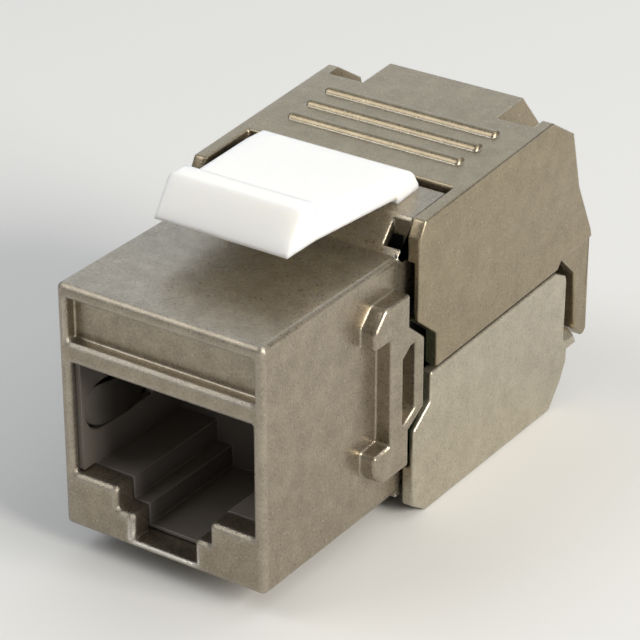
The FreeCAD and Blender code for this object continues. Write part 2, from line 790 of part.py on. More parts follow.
def build_wire_manager():
    """The cap that lays the eight wires across the terminals and holds the cable's end."""
    manager = Piece("wire_manager")
    half = f"({SHELL_IN} - manager_side)"
    neck = f"({MANAGER_REAR} - manager_neck - {MANAGER_FRONT})"
    manager.add("XZ", MANAGER_FRONT, neck, polygons=[wide(half, "manager_base", "manager_top")])
    manager.add("XZ", f"{MANAGER_REAR} - manager_neck", "manager_neck", polygons=[
        wide(f"{half} - manager_side", "manager_neck_base", "manager_neck_top"),
    ])
    bore_depth = f"{MANAGER_REAR} - {MANAGER_FRONT} - manager_front_wall"
    manager.cut("XZ", MANAGER_REAR, bore_depth, "minus", circles=[
        (("0", "cable_height"), "cable_radius"),
    ])
    duct = f"{MANAGER_FRONT} + manager_front_wall"
    manager.cut("XY", "manager_top", "manager_top - manager_base", "minus", polygons=[
        wide("duct_width / 2", duct, f"{duct} + duct_depth"),
    ])
    middle = (TERMINALS_PER_ROW - 1) / 2
    lanes = [
        box_corners(f"terminal_pitch * {column - middle} - lane_width / 2",
                    f"terminal_pitch * {column - middle} + lane_width / 2",
                    MANAGER_FRONT, duct)
        for column in range(TERMINALS_PER_ROW)
    ]
    manager.cut("XY", "manager_top", "lane_deep", "minus", polygons=lanes)
    manager.cut("XY", "manager_base", "lane_deep", polygons=lanes)
    face_lanes = [
        (f"terminal_pitch * {column - middle} - lane_width / 2",
         f"terminal_pitch * {column - middle} + lane_width / 2")
        for column in range(TERMINALS_PER_ROW)
    ]
    manager.cut("XZ", MANAGER_FRONT, "lane_deep", polygons=[
        box_corners(left, right, f"{TERMINAL_UPPER} - terminal_width / 2", "manager_top")
        for left, right in face_lanes
    ])
    manager.cut("XZ", MANAGER_FRONT, "lane_deep", polygons=[
        box_corners(left, right, "manager_base", "terminal_lower + terminal_width / 2")
        for left, right in face_lanes
    ])
    slack = "(terminal_width / 2 + blade_gap)"
    rise = "(terminal_thick / 2 + blade_gap)"
    manager.cut("XZ", MANAGER_FRONT, "terminal_reach + blade_gap", polygons=[
        box_corners(f"{across} - {slack}", f"{across} + {slack}",
                    f"{height} - {rise}", f"{height} + {rise}")
        for across, height in terminal_places()
    ])
    manager.cut("XZ", MANAGER_FRONT, "key_reach + blade_gap", polygons=[
        wide("key_width / 2 + blade_gap", "block_base - blade_gap", "face_height - block_top + blade_gap"),
    ])
    return manager


def build_upper_shell():
    """The upper rear shell: plate, side walls, hood over the cable, lip and ribs."""
    shell = Piece("upper_shell")
    depth = "overall_depth"
    outer_top = f"({depth} - rear_top)"
    peak = f"({depth} - notch_peak)"
    seam_end = f"({depth} - heel_top)"
    lip_front = f"({depth} - lip_thick)"
    shell.add("YZ", "0", f"2 * {SHELL_OUT}", "both", polygons=[(
        (UPPER_FRONT, "upper_notch"),
        (UPPER_FRONT, f"face_height + plate_rise - brow_height"),
        (f"{UPPER_FRONT} + brow_run", plate_line(f"({UPPER_FRONT} + brow_run)")),
        (outer_top, plate_line(outer_top)),
        (f"{depth} - rear_knee", "rear_knee_z"),
        (f"{depth} - rear_waist", "rear_waist_z"),
        (f"{depth} - rear_flare", "rear_flare_z"),
        (depth, "rear_edge_z"),
        (depth, "lip_bottom + shell_round"),
        (f"{depth} - shell_round", "lip_bottom"),
        (f"{lip_front} + lip_bevel_run", "lip_bottom"),
        (lip_front, "lip_bottom + lip_bevel_rise"),
        (f"{lip_front} - shell_round", "lip_top"),
        (peak, f"{seam_line(seam_end)} + seam_gap + lip_step * 4"),
        (seam_end, f"{seam_line(seam_end)} + seam_gap"),
        ("seam_back", "seam_front + seam_gap"),
        ("seam_back", "upper_notch_back"),
    )])
    hood_top = f"({depth} - hood_top)"
    shell.add("YZ", "0", "hood_width", "both", polygons=[(
        (f"{outer_top} - plate_thick", f"{plate_line(outer_top)} - plate_thick"),
        (f"{outer_top} - plate_thick", plate_line(f"({outer_top} - plate_thick)")),
        (hood_top, plate_line(hood_top)),
        (f"{depth} - hood_knee", "hood_knee_z"),
        (depth, "hood_base_z"),
        (depth, "rear_edge_z"),
        (f"{depth} - lip_thick", "rear_edge_z"),
    )])
    inner_corner = f"({depth} - corner_front - corner_thick)"
    inner_start = f"({PLATE_FRONT} - plate_front)"
    shell.cut("YZ", "0", f"2 * {SHELL_IN}", "both", polygons=[(
        (inner_start, "0"),
        (inner_start, f"{plate_line(inner_start)} - plate_thick"),
        (inner_corner, f"{plate_line(inner_corner)} - plate_thick"),
        (inner_corner, "corner_floor - corner_thick"),
        (f"{depth} - rear_knee - shell_wall", "corner_floor - corner_thick"),
        (f"{depth} - rear_waist - shell_wall", "rear_waist_z - shell_wall"),
        (f"{depth} - rear_flare - lip_thick", "rear_flare_z"),
        (f"{depth} - rear_flare - lip_thick", "0"),
    )])
    hood_in = f"({depth} - hood_knee - hood_wall)"
    shell.cut("YZ", "0", "hood_width - 2 * hood_wall", "both", polygons=[(
        (f"{inner_corner} - plate_thick", "corner_floor - corner_thick"),
        (f"{inner_corner} - plate_thick", f"{plate_line(inner_corner)} - plate_thick"),
        (f"{hood_top} - hood_wall / 2", f"{plate_line(hood_top)} - plate_thick"),
        (hood_in, "hood_knee_z - hood_wall / 2"),
        (f"{depth} - hood_wall", "hood_base_z - hood_wall / 2"),
        (f"{depth} - hood_wall", "rear_edge_z + hood_wall"),
        (f"{depth} - rear_flare - lip_thick - hood_wall / 2", "rear_edge_z + hood_wall"),
    )])
    pocket = shell.cut("XY", plate_line(depth), f"{plate_line(depth)} - corner_floor", "minus", polygons=[
        box_corners("hood_width / 2", f"{SHELL_OUT} - corner_skin", f"{depth} - corner_front", depth),
    ])
    shell.mirror([pocket])
    shell.soften("Fillet", "rim_round", lambda edge: touches(edge, "y", f"{depth} - corner_front")
                 and edge.BoundBox.XLength > measure("corner_skin")
                 and edge.CenterOfMass.z > measure("corner_floor") + FINE)
    shell.cut("XY", plate_line(PLATE_FRONT), "plate_rise + plate_thick", "minus", polygons=[
        wide(SHELL_IN, "box_depth", PLATE_FRONT),
    ])
    step = shell.cut("YZ", SHELL_OUT, "lip_step", "minus", polygons=[(
        (peak, f"{seam_line(seam_end)} + seam_gap + lip_step * 4"),
        (depth, "rear_edge_z + lip_step"),
        (depth, "0"),
        (peak, "0"),
    )])
    shell.mirror([step])
    shell.cut("XZ", f"{depth} - 2 * lip_thick", "3 * lip_thick", circles=[
        (("0", "cable_height"), "cable_radius"),
    ])
    shell.cut("XZ", f"{depth} - 2 * lip_thick", "3 * lip_thick", polygons=[
        wide("cable_radius", "0", "cable_height"),
    ])
    shell.cut("YZ", "0", f"2 * {BRIDGE} + 2 * pin_length + 2 * pin_gap", "both", circles=[
        (UPPER_PIN, "pin_radius + pin_gap"),
    ])
    shell.cut("XZ", UPPER_FRONT, "ear_step_deep", polygons=[
        wide(f"{SHELL_IN} + ear_step", "upper_notch", "face_height + upper_pin_rise - 2 * pin_radius"),
    ])
    plate_run = f"({depth} - corner_front - {PLATE_FRONT})"
    for index in range(RIB_COUNT):
        middle = f"({PLATE_FRONT} + {plate_run} * (rib_first_share + rib_pitch_share * {index}))"
        shell.add("YZ", "0", "rib_length", "both", circles=[
            ((middle, f"{plate_line(middle)} + rib_height - rib_radius"), "rib_radius"),
        ])
    shell.soften("Fillet", "rib_end_round", lambda edge: beside(edge, "rib_length / 2")
                 and isinstance(edge.Curve, Part.Circle))
    return shell


def build_lower_shell():
    """The lower rear shell: floor, side walls, heel with the cable cradle, and ledge."""
    shell = Piece("lower_shell")
    depth = "overall_depth"
    heel_top = f"({depth} - heel_top)"
    heel_level = seam_line(heel_top)
    shell.add("YZ", "0", f"2 * ({SHELL_OUT} - lower_inset)", "both", polygons=[(
        (LOWER_FRONT, "toe_rise - foot_drop"),
        (LOWER_FRONT, "lower_notch"),
        (f"{LOWER_FRONT} + lower_notch_run", "lower_notch_back"),
        (f"{LOWER_FRONT} + lower_notch_run", seam_line(f"({LOWER_FRONT} + lower_notch_run)")),
        (heel_top, heel_level),
        (f"{heel_top} + (heel_top - heel_corner) * heel_bulge", f"(heel_corner_z + 2 * {heel_level}) / 3"),
        (f"{depth} - heel_corner", "heel_corner_z"),
        (f"{depth} - heel_rear", "heel_base_z"),
        (f"{depth} - heel_turn", "heel_turn_z"),
        (f"{depth} - heel_bottom", "-foot_drop"),
        (f"{LOWER_FRONT} + toe_run", "-foot_drop"),
    )])
    shell.cut("YZ", "0", f"2 * {SHELL_IN}", "both", polygons=[(
        ("box_depth", "floor_thick - foot_drop"),
        (f"{depth} - heel_bottom - heel_wall", "floor_thick - foot_drop"),
        (f"{depth} - heel_rear - heel_wall", "heel_base_z"),
        (f"{depth} - heel_rear - heel_wall", "upper_notch"),
        ("box_depth", "upper_notch"),
    )])
    shell.cut("XY", "-foot_drop", "floor_thick", polygons=[
        wide(SHELL_IN, "box_depth", "box_depth + floor_front"),
    ])
    shell.cut("XZ", f"{depth} - heel_bottom - 2 * heel_wall", "heel_bottom + heel_wall", circles=[
        (("0", "cable_height"), "cable_radius"),
    ])
    shell.cut("YZ", "0", f"2 * {BRIDGE} + 2 * pin_length + 2 * pin_gap", "both", circles=[
        (LOWER_PIN, "pin_radius + pin_gap"),
    ])
    shell.cut("XZ", LOWER_FRONT, "ear_step_deep", polygons=[
        wide(f"{SHELL_IN} + ear_step", "lower_pin_rise + 2 * pin_radius", "lower_notch_back"),
    ])
    ledge_end = f"({depth} - lip_thick + lip_bevel_run - ledge_gap)"
    ledge = shell.add("YZ", f"{SHELL_OUT} - lower_inset - ledge_width", "ledge_width", polygons=[(
        (f"{depth} - heel_rear - heel_wall / 4", "ledge_base"),
        (f"{ledge_end} - ledge_nose", "ledge_base"),
        (ledge_end, "ledge_base + ledge_nose"),
        (f"{ledge_end} - ledge_slope", "ledge_base + ledge_height"),
        (f"{depth} - heel_rear - heel_wall / 4", "ledge_base + ledge_height"),
    )])
    shell.mirror([ledge])
    shell.soften("Chamfer", "ledge_bevel", lambda edge: beside(edge, f"{SHELL_OUT} - lower_inset")
                 and edge.BoundBox.YMin > measure(f"{depth} - heel_rear - heel_wall / 4") - FINE
                 and edge.CenterOfMass.z > measure("ledge_base + ledge_height / 2"))
    return shell


def build_panel_latch():
    """The plastic spring latch over the front box, rooted in the bridge."""
    latch = Piece("panel_latch")
    under = "(face_height + latch_lift)"
    foot_front = "(box_depth + latch_foot_front)"
    foot_back = "(box_depth + latch_foot_back)"
    latch.add("YZ", "0", "latch_heel_width", "both", polygons=[(
        ("latch_tip", under),
        ("latch_tip + latch_ramp", "face_height + latch_crest"),
        ("latch_catch", "face_height + latch_crest"),
        ("latch_catch", "face_height + latch_step"),
        ("box_depth + latch_heel_back", "face_height + latch_heel_rise"),
        (foot_back, f"{plate_line(foot_back)}"),
        (foot_back, f"{plate_line(foot_back)} - recess_depth"),
        (foot_front, f"{plate_line(foot_front)} - recess_depth"),
        (foot_front, under),
    )])
    side = latch.cut("XY", under, "latch_crest", "plus", polygons=[(
        ("latch_head_width / 2", "0"),
        ("latch_heel_width / 2 + latch_round", "0"),
        ("latch_heel_width / 2 + latch_round", foot_front),
        ("latch_heel_width / 2", foot_front),
        ("latch_head_width / 2", "latch_catch"),
    )])
    latch.mirror([side])
    latch.soften("Fillet", "latch_round", lambda edge: edge.BoundBox.ZMin > measure(
        "face_height + latch_heel_rise - latch_round") and edge.BoundBox.YLength > 1.2
        and abs(edge.CenterOfMass.x) > 1)
    latch.add("XY", plate_line(foot_front), "peg_deep + recess_depth", "minus", polygons=[
        wide("peg_width / 2", "box_depth + peg_front", "box_depth + peg_front + peg_length"),
    ])
    return latch


def build_ground_spring(label, side):
    """One bowed strip that touches the plug's metal sleeve, left or right."""
    spring = Piece(label)
    chord = "(spring_length - 2 * spring_margin)"
    radius = f"({chord} * {chord} / (8 * spring_bow) + spring_bow / 2)"
    middle = "(spring_front + spring_length / 2)"
    centre = (f"{side} * ({CAVITY} - spring_bow + {radius})", middle)
    crest = f"{side} * ({CAVITY} - spring_bow)"
    way = "plus" if side > 0 else "minus"
    low = "(spring_base + spring_margin)"
    height = "(spring_height - 2 * spring_margin)"
    spring.add("YZ", crest, "spring_bow", way, circles=[(SPRING_TURN, f"{height} / 2")])
    spring.add("YZ", crest, "spring_bow", way, polygons=[
        box_corners(SPRING_TURN[0], "spring_front + spring_length - spring_margin",
                    low, f"{low} + {height}"),
    ])
    spring.cut("XY", low, height, polygons=[
        box_corners("-(2 * face_width)", "2 * face_width",
                    f"{middle} - 2 * face_width", f"{middle} + 2 * face_width"),
    ], circles=[(centre, radius)])
    spring.cut("XY", low, height, circles=[(centre, f"{radius} - spring_thick")])
    return spring


def build_all():
    """Every piece of the jack, in the order in which it is put together."""
    pieces = [build_front_housing(), build_port_insert(), build_contact_carrier()]
    pieces += [build_plug_contact(number) for number in range(1, CONTACT_COUNT + 1)]
    pieces += [build_circuit_board(), build_idc_block()]
    pieces += [build_terminal(number, place) for number, place in enumerate(terminal_places(), start=1)]
    pieces += [build_wire_manager(), build_upper_shell(), build_lower_shell(), build_panel_latch()]
    pieces += [
        build_ground_spring(label, side)
        for label, side in zip(("ground_spring_left", "ground_spring_right"), SIDES)
    ]
    return pieces


def check(pieces):
    """Stop if any object failed or any piece isn't one valid solid."""
    failed = [item.Name for item in document.Objects if {"Invalid", "Error"} & set(item.State)]
    for piece in pieces:
        shape = piece.body.Shape
        if shape.isNull() or not shape.isValid() or len(shape.Solids) != 1:
            failed.append(piece.body.Label)
    if failed:
        raise RuntimeError(f"failed: {failed}")


pieces = build_all()
document.recompute()
check(pieces)
os.makedirs("parts", exist_ok=True)
for piece in pieces:
    piece.body.Shape.exportStep(f"parts/{piece.body.Label}.step")
    box = piece.body.Shape.BoundBox
    print(f"{piece.body.Label:22s} {piece.body.Shape.Volume:9.2f} mm3  "
          f"x {box.XMin:6.2f} {box.XMax:6.2f}  y {box.YMin:6.2f} {box.YMax:6.2f}  "
          f"z {box.ZMin:6.2f} {box.ZMax:6.2f}")
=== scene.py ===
"""A shielded keystone jack, dressed and lit for a studio picture."""
import json
import logging
import math
from abc import ABC, abstractmethod
from dataclasses import dataclass, field
from enum import Enum, IntEnum

import bmesh
import bpy
from mathutils import Matrix, Vector
from mathutils.bvhtree import BVHTree


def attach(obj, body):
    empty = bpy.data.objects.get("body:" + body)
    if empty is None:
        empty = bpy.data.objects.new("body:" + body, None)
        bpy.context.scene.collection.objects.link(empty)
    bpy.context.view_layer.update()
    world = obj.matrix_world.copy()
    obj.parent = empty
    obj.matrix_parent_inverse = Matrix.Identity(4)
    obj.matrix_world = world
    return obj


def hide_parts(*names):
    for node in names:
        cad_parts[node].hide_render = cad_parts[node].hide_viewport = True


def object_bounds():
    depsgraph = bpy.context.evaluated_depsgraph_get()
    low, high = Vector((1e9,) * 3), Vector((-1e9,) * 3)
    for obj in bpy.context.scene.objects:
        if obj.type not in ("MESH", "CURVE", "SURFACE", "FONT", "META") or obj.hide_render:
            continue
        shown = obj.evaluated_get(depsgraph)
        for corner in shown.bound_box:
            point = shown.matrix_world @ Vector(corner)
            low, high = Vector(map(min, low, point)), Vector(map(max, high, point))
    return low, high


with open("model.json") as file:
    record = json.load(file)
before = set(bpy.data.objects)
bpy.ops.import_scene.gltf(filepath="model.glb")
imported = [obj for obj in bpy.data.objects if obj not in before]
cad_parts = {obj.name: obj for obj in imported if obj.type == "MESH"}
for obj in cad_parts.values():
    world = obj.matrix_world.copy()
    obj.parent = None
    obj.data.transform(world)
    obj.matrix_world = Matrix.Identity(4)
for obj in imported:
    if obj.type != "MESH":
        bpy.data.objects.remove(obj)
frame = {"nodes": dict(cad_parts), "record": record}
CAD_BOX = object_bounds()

Colour = tuple[float, float, float]
Point = tuple[float, float, float]
Span = tuple[float, float]
Wire = tuple[bpy.types.Node, str | int, bpy.types.Node, str | int]
Materials = dict[str, bpy.types.Material]

MM = 0.001
UNIT: Span = (0.0, 1.0)
WHITE: Colour = (1.0, 1.0, 1.0)
# The lower shell's underside lies this far, in millimetres, below the front box's.
FOOT_DROP = 1.65
# A distance in millimetres that lies beyond the jack on every side.
BEYOND = 99.0

logging.basicConfig(level=logging.INFO, format="%(message)s")
log = logging.getLogger("keystone_jack")


class Body(Enum):
    """The bodies that a piece can ride on."""

    HOUSING = "housing"
    UPPER = "upper_cover"
    LOWER = "lower_cover"
    LATCH = "latch"


class Socket(Enum):
    """The kinds of value that a node group puts out."""

    NUMBER = "NodeSocketFloat"
    VECTOR = "NodeSocketVector"


class Mix(IntEnum):
    """A colour Mix node's own sockets: two colours in and one colour out."""

    LOW = 6
    HIGH = 7
    OUT = 2


def from_datum(x: float, y: float, z: float) -> Vector:
    """Turn a place in millimetres from the front face and the box's underside into the frame's own.

    Args:
        x: Across the jack, from its middle.
        y: Behind the front face.
        z: Above the front box's underside.

    Returns:
        The place in metres.
    """
    low = Vector(CAD_BOX[0])
    return Vector((x * MM, low.y + y * MM, low.z + (z + FOOT_DROP) * MM))


def add_node(tree: bpy.types.NodeTree, kind: str, **settings: object) -> bpy.types.Node:
    """Add one shader node and set its properties and unlinked inputs.

    Args:
        tree: The node tree that gets the node.
        kind: The node's type, such as ShaderNodeBump.
        settings: Properties by name, or inputs by name with spaces as underscores.

    Returns:
        The new node.
    """
    node = tree.nodes.new(kind)
    for name, value in settings.items():
        if hasattr(node, name):
            setattr(node, name, value)
        else:
            node.inputs[name.replace("_", " ")].default_value = value
    return node


def add_range(tree: bpy.types.NodeTree, given: Span, made: Span = UNIT) -> bpy.types.Node:
    """Add a node that turns one span of values into another, with the rest held at its ends.

    Args:
        tree: The node tree.
        given: The first and last value that comes in.
        made: The values that those two turn into.

    Returns:
        The Map Range node.
    """
    return add_node(tree, "ShaderNodeMapRange", From_Min=given[0], From_Max=given[1],
                    To_Min=made[0], To_Max=made[1])


def add_share(tree: bpy.types.NodeTree, share: float) -> bpy.types.Node:
    """Add a node that passes a fixed share of its first input.

    Args:
        tree: The node tree.
        share: The factor.

    Returns:
        The Math node.
    """
    node = add_node(tree, "ShaderNodeMath", operation="MULTIPLY")
    node.inputs[1].default_value = share
    return node


def colour_mix(tree: bpy.types.NodeTree, low: Colour, high: Colour) -> bpy.types.Node:
    """Add a node that mixes two colours by its Factor.

    Args:
        tree: The node tree.
        low: The colour at 0.
        high: The colour at 1.

    Returns:
        The Mix node, whose sockets are those of Mix.
    """
    mix = add_node(tree, "ShaderNodeMix", data_type="RGBA")
    mix.inputs[Mix.LOW].default_value = (*low, 1.0)
    mix.inputs[Mix.HIGH].default_value = (*high, 1.0)
    return mix


def connect(tree: bpy.types.NodeTree, *wires: Wire) -> None:
    """Link nodes, where each wire is a node, its output, the next node and its input."""
    for source, given, target, taken in wires:
        tree.links.new(source.outputs[given], target.inputs[taken])


def plain_shader(name: str) -> tuple[bpy.types.Material, bpy.types.Node]:
    """Make a node material and find its shader.

    Args:
        name: The material's name.

    Returns:
        The material and its Principled BSDF node.
    """
    material = bpy.data.materials.new(name)
    material.use_nodes = True
    return material, material.node_tree.nodes["Principled BSDF"]


def open_group(name: str, inputs: dict[str, float], outputs: dict[str, Socket]
               ) -> tuple[bpy.types.NodeTree, bpy.types.Node, bpy.types.Node]:
    """Make a shader node group that has only its ends.

    Args:
        name: The group's name.
        inputs: Number inputs with their default values.
        outputs: Outputs with their kinds.

    Returns:
        The group, its input node and its output node.
    """
    group = bpy.data.node_groups.new(name, "ShaderNodeTree")
    for socket, value in inputs.items():
        made = group.interface.new_socket(socket, in_out="INPUT",
                                          socket_type=Socket.NUMBER.value)
        made.default_value = value
    for socket, kind in outputs.items():
        group.interface.new_socket(socket, in_out="OUTPUT", socket_type=kind.value)
    return group, group.nodes.new("NodeGroupInput"), group.nodes.new("NodeGroupOutput")


@dataclass
class Effects:
    """The node groups that the finishes share, each built once."""

    grain_scale: float = 6000.0
    grain_detail: float = 2.0
    grain_roughness: float = 0.55
    mottle_scale: float = 900.0
    mottle_detail: float = 5.0
    mottle_roughness: float = 0.6
    speck_scale: float = 2000.0
    speck_span: Span = (0.16, 0.06)
    edge_gain: float = 6.0
    edge_samples: int = 6
    hollow_reach: float = 0.15 * MM
    hollow_samples: int = 8
    hollow_span: Span = (0.2, 0.6)

    def __post_init__(self) -> None:
        """Build the three groups."""
        self.grain = self.surface_grain()
        self.edge = self.edge_rounding_and_highlight()
        self.hollow = self.hollow_shade()

    def surface_grain(self) -> bpy.types.NodeTree:
        """Build the group of a fine grain, a wide mottle and scattered specks.

        Returns:
            A group with a height, a mottle mask and a speck mask.
        """
        scales = {"Grain": self.grain_scale, "Mottle": self.mottle_scale,
                  "Specks": self.speck_scale}
        masks = {"Height": Socket.NUMBER, "Mottle": Socket.NUMBER, "Specks": Socket.NUMBER}
        group, given, made = open_group("surface_grain", scales, masks)
        place = add_node(group, "ShaderNodeTexCoord")
        grain = add_node(group, "ShaderNodeTexNoise", Detail=self.grain_detail,
                         Roughness=self.grain_roughness)
        mottle = add_node(group, "ShaderNodeTexNoise", Detail=self.mottle_detail,
                          Roughness=self.mottle_roughness)
        specks = add_node(group, "ShaderNodeTexVoronoi")
        spark = add_range(group, self.speck_span)
        for texture, scale in ((grain, "Grain"), (mottle, "Mottle"), (specks, "Specks")):
            connect(group,
                    (place, "Object", texture, "Vector"),
                    (given, scale, texture, "Scale"))
        connect(group,
                (specks, "Distance", spark, "Value"),
                (grain, "Fac", made, "Height"),
                (mottle, "Fac", made, "Mottle"),
                (spark, "Result", made, "Specks"))
        return group

    def edge_rounding_and_highlight(self) -> bpy.types.NodeTree:
        """Build the group that finds where a surface turns over an edge.

        Returns:
            A group with an edge mask, which paints highlights on edges, and the rounded normal.
        """
        group, given, made = open_group("edge_rounding_and_highlight", {"Gain": self.edge_gain, "Radius": 0.0},
                                        {"Edge": Socket.NUMBER, "Normal": Socket.VECTOR})
        rounded = add_node(group, "ShaderNodeBevel", samples=self.edge_samples)
        flat = add_node(group, "ShaderNodeNewGeometry")
        along = add_node(group, "ShaderNodeVectorMath", operation="DOT_PRODUCT")
        turn = add_node(group, "ShaderNodeMath", operation="SUBTRACT")
        turn.inputs[0].default_value = 1.0
        gain = add_node(group, "ShaderNodeMath", operation="MULTIPLY", use_clamp=True)
        connect(group,
                (given, "Radius", rounded, "Radius"),
                (rounded, "Normal", made, "Normal"),
                (rounded, "Normal", along, 0),
                (flat, "Normal", along, 1),
                (along, "Value", turn, 1),
                (turn, 0, gain, 0),
                (given, "Gain", gain, 1),
                (gain, 0, made, "Edge"))
        return group

    def hollow_shade(self) -> bpy.types.NodeTree:
        """Build the group that finds gaps, slots and inner corners, for painted shade.

        Returns:
            A group with a mask that is 1 in the open and 0 deep in a hollow.
        """
        group, given, made = open_group("hollow_shade", {"Reach": self.hollow_reach},
                                        {"Open": Socket.NUMBER})
        shut = add_node(group, "ShaderNodeAmbientOcclusion", samples=self.hollow_samples)
        spread = add_range(group, self.hollow_span)
        connect(group,
                (given, "Reach", shut, "Distance"),
                (shut, "AO", spread, "Value"),
                (spread, "Result", made, "Open"))
        return group


@dataclass(frozen=True)
class CastNickel:
    """Satin nickel plating over a fine die-cast grain.

    Near the front face its edges are rounded by front_rounding, and below rough_top, which is
    in millimetres above the front box's underside, its grain is rough_gain times as deep. Its
    colour holds a painted highlight on edges and specks and painted shade in hollows.
    """

    colour: Colour
    dark: Colour
    # Painted highlight: the colour that edges and sparkle specks turn towards.
    highlight_colour: Colour = (0.86, 0.84, 0.78)
    # Painted shade: the colour that gaps, slots and inner corners turn to.
    hollow: Colour = (0.1, 0.085, 0.062)
    roughness: Span = (0.26, 0.35)
    metal: float = 0.84
    grain: float = 6500.0
    relief: float = 0.02 * MM
    bump: float = 0.55
    grain_span: Span = (0.3, 0.7)
    tone_span: Span = (0.75, 1.25)
    speck_share: float = 0.22
    highlight_share: float = 0.8
    rounding: float = 0.14 * MM
    front_rounding: float = 0.14 * MM
    front_reach: float = 0.8 * MM
    rough_top: float = 0.6
    rough_gain: float = 1.0

    def build(self, name: str, effects: Effects) -> bpy.types.Material:
        """Build the material.

        Args:
            name: The material's name.
            effects: The shared node groups.

        Returns:
            The finished material.
        """
        material, shader = plain_shader(name)
        tree = material.node_tree
        front = CAD_BOX[0][1]
        foot = from_datum(0.0, 0.0, self.rough_top).z
        grain = add_node(tree, "ShaderNodeGroup", node_tree=effects.grain, Grain=self.grain)
        edge = add_node(tree, "ShaderNodeGroup", node_tree=effects.edge)
        hollow = add_node(tree, "ShaderNodeGroup", node_tree=effects.hollow)
        place = add_node(tree, "ShaderNodeTexCoord")
        along = add_node(tree, "ShaderNodeSeparateXYZ")
        soften = add_range(tree, (front + self.front_reach, front + self.front_reach / 2),
                           (self.rounding, self.front_rounding))
        coarse = add_range(tree, (foot, foot - self.rounding),
                           (self.relief, self.relief * self.rough_gain))
        blend = add_node(tree, "ShaderNodeMath", operation="ADD")
        spread = add_range(tree, self.tone_span)
        tone = colour_mix(tree, self.dark, self.colour)
        # Painted highlight: the base colour turns light along edges and at the specks.
        bright = colour_mix(tree, self.colour, self.highlight_colour)
        # Painted shade: the base colour darkens where the ambient occlusion finds a hollow.
        sunk = colour_mix(tree, self.hollow, self.colour)
        sparkle = add_share(tree, self.speck_share)
        edge_highlight = add_share(tree, self.highlight_share)
        both = add_node(tree, "ShaderNodeMath", operation="MAXIMUM")
        rough = add_range(tree, self.grain_span, self.roughness)
        bump = add_node(tree, "ShaderNodeBump", Strength=self.bump)
        connect(tree,
                (place, "Object", along, "Vector"),
                (along, "Y", soften, "Value"),
                (soften, "Result", edge, "Radius"),
                (along, "Z", coarse, "Value"),
                (coarse, "Result", bump, "Distance"),
                (grain, "Mottle", blend, 0),
                (grain, "Height", blend, 1),
                (blend, 0, spread, "Value"),
                (spread, "Result", tone, "Factor"),
                (tone, Mix.OUT, bright, Mix.LOW),
                (grain, "Specks", sparkle, 0),
                (sparkle, 0, both, 0),
                (edge, "Edge", edge_highlight, 0),
                (edge_highlight, 0, both, 1),
                (both, 0, bright, "Factor"),
                (hollow, "Open", sunk, "Factor"),
                (bright, Mix.OUT, sunk, Mix.HIGH),
                (sunk, Mix.OUT, shader, "Base Color"),
                (grain, "Height", rough, "Value"),
                (rough, "Result", shader, "Roughness"),
                (grain, "Height", bump, "Height"),
                (edge, "Normal", bump, "Normal"),
                (bump, "Normal", shader, "Normal"))
        shader.inputs["Metallic"].default_value = self.metal
        return material


@dataclass(frozen=True)
class MouldedPlastic:
    """Injection-moulded plastic with a faint texture."""

    colour: Colour
    shade: Colour
    roughness: float = 0.5
    roughness_swing: float = 0.06
    texture: float = 3000.0
    mottle_share: float = 0.125
    relief: float = 0.005 * MM
    bump: float = 0.35
    glow: float = 0.0
    glow_tint: Colour = (1.0, 0.93, 0.78)
    glow_reach: float = 1.6 * MM
    rounding: float = 0.1 * MM

    def build(self, name: str, effects: Effects) -> bpy.types.Material:
        """Build the material.

        Args:
            name: The material's name.
            effects: The shared node groups.

        Returns:
            The finished material.
        """
        material, shader = plain_shader(name)
        tree = material.node_tree
        grain = add_node(tree, "ShaderNodeGroup", node_tree=effects.grain, Grain=self.texture,
                         Mottle=self.texture * self.mottle_share)
        edge = add_node(tree, "ShaderNodeGroup", node_tree=effects.edge, Radius=self.rounding)
        tone = colour_mix(tree, self.shade, self.colour)
        rough = add_range(tree, UNIT, (self.roughness - self.roughness_swing,
                                       self.roughness + self.roughness_swing))
        bump = add_node(tree, "ShaderNodeBump", Strength=self.bump, Distance=self.relief)
        connect(tree,
                (grain, "Mottle", tone, "Factor"),
                (tone, Mix.OUT, shader, "Base Color"),
                (grain, "Mottle", rough, "Value"),
                (rough, "Result", shader, "Roughness"),
                (grain, "Height", bump, "Height"),
                (edge, "Normal", bump, "Normal"),
                (bump, "Normal", shader, "Normal"))
        shader.inputs["Subsurface Weight"].default_value = self.glow
        shader.inputs["Subsurface Radius"].default_value = self.glow_tint
        shader.inputs["Subsurface Scale"].default_value = self.glow_reach
        return material


@dataclass(frozen=True)
class PlatedMetal:
    """Smooth plated metal of a contact, a terminal or a spring."""

    colour: Colour
    tarnish: Colour
    roughness: float = 0.25
    roughness_rise: float = 0.15

    def build(self, name: str, effects: Effects) -> bpy.types.Material:
        """Build the material.

        Args:
            name: The material's name.
            effects: The shared node groups.

        Returns:
            The finished material.
        """
        material, shader = plain_shader(name)
        tree = material.node_tree
        grain = add_node(tree, "ShaderNodeGroup", node_tree=effects.grain)
        tone = colour_mix(tree, self.tarnish, self.colour)
        rough = add_range(tree, UNIT, (self.roughness, self.roughness + self.roughness_rise))
        connect(tree,
                (grain, "Mottle", tone, "Factor"),
                (tone, Mix.OUT, shader, "Base Color"),
                (grain, "Mottle", rough, "Value"),
                (rough, "Result", shader, "Roughness"))
        shader.inputs["Metallic"].default_value = 1.0
        return material


